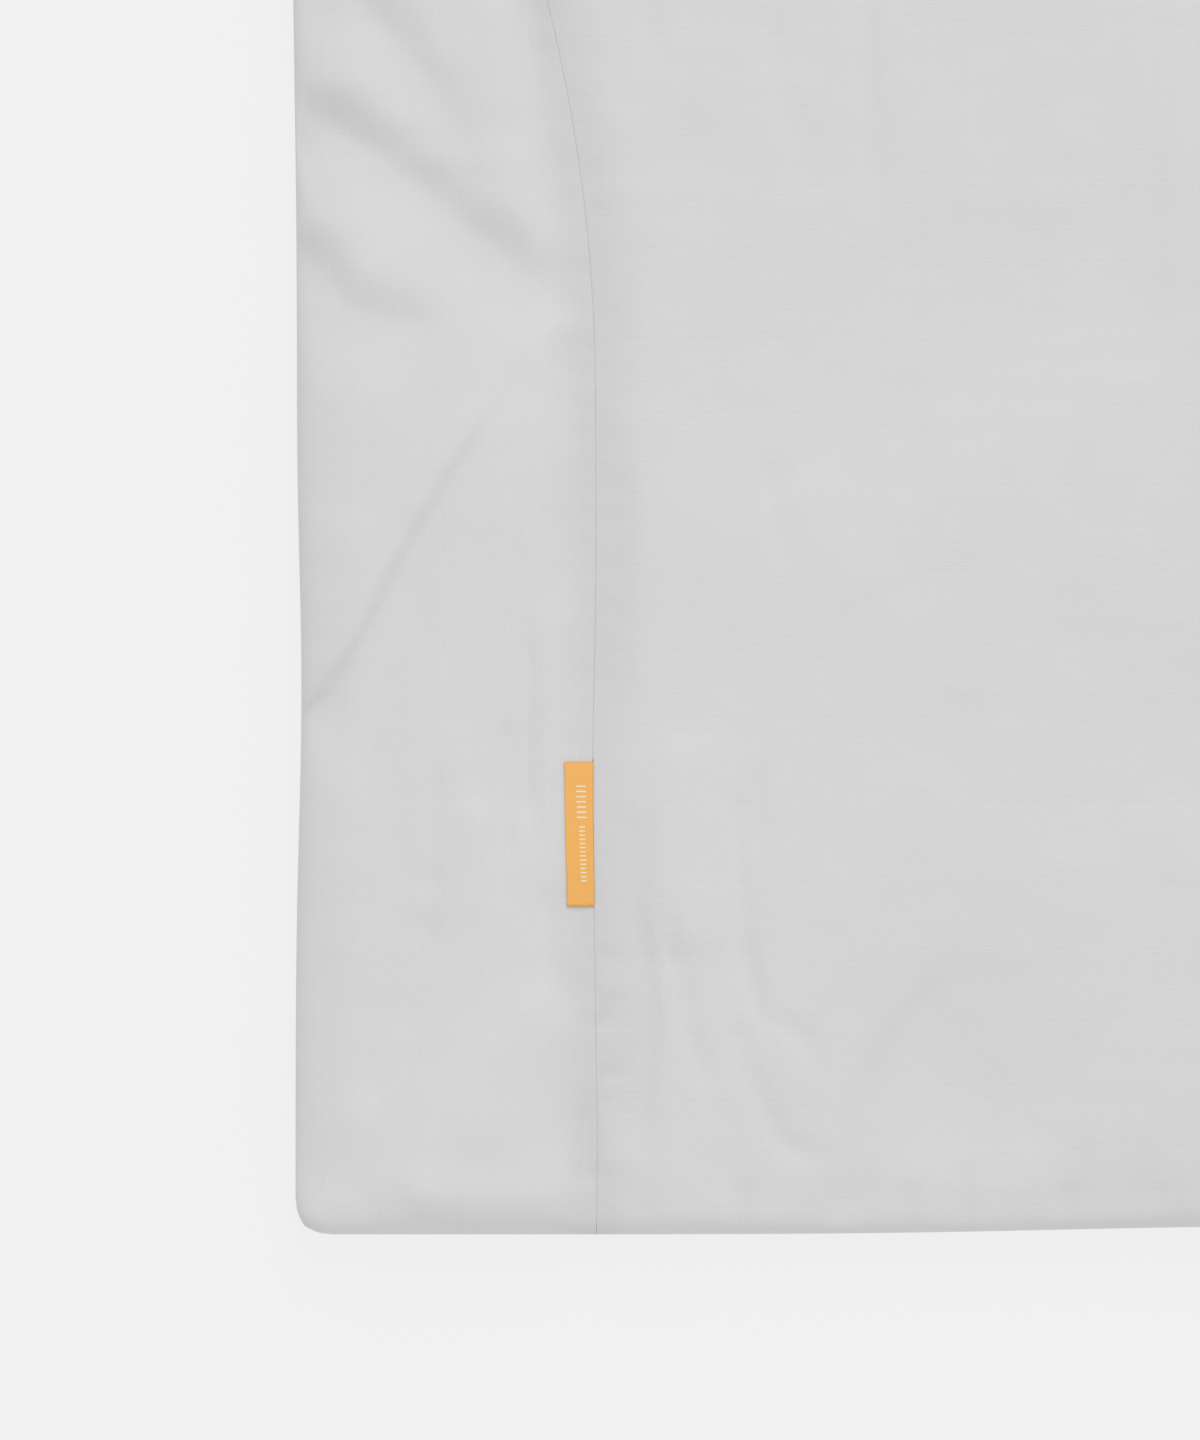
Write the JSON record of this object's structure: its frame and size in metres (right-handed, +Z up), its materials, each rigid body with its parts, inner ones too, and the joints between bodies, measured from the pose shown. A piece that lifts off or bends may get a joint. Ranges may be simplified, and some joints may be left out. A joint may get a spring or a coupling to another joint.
{
  "type": "camp quilt",
  "caption": "Flat camp quilt with a turned edge, curved gusset seams at the foot end, batt insulation and a folded flag label that flaps in one seam.",
  "frame": {"origin": "on the ground under the centre of the quilt's outline, lying flat with its lining down", "axes": "+Y from the foot edge to the head edge, +X to the right side seen from above with the foot edge nearest, +Z up out of the face"},
  "size_m": [1.4, 2, 0.026],
  "materials": {
    "face_cloth": "matte light grey fine ripstop",
    "lining_cloth": "matte grey plain weave",
    "batting": "white synthetic batt",
    "sewing_thread": "grey polyester thread",
    "label_ribbon": "orange woven ribbon, slight sheen"
  },
  "bodies": {
    "quilt": {"face_center_panel": "face_cloth", "face_gusset_left": "face_cloth", "face_gusset_right": "face_cloth", "lining_panel": "lining_cloth", "insulation_center": "batting", "insulation_left": "batting", "insulation_right": "batting", "side_seam_thread_left": "sewing_thread", "side_seam_thread_right": "sewing_thread", "edge_seam_thread": "sewing_thread", "flag_label_tail": "label_ribbon"},
    "label": {"flag_label": "label_ribbon"}
  },
  "joints": [
    {"name": "label_flap", "type": "hinge", "parent": "quilt", "child": "label", "pos_m": [-0.598, -0.864, 0.02448], "axis": [0, 1, 0], "range_deg": [0, 175]}
  ]
}
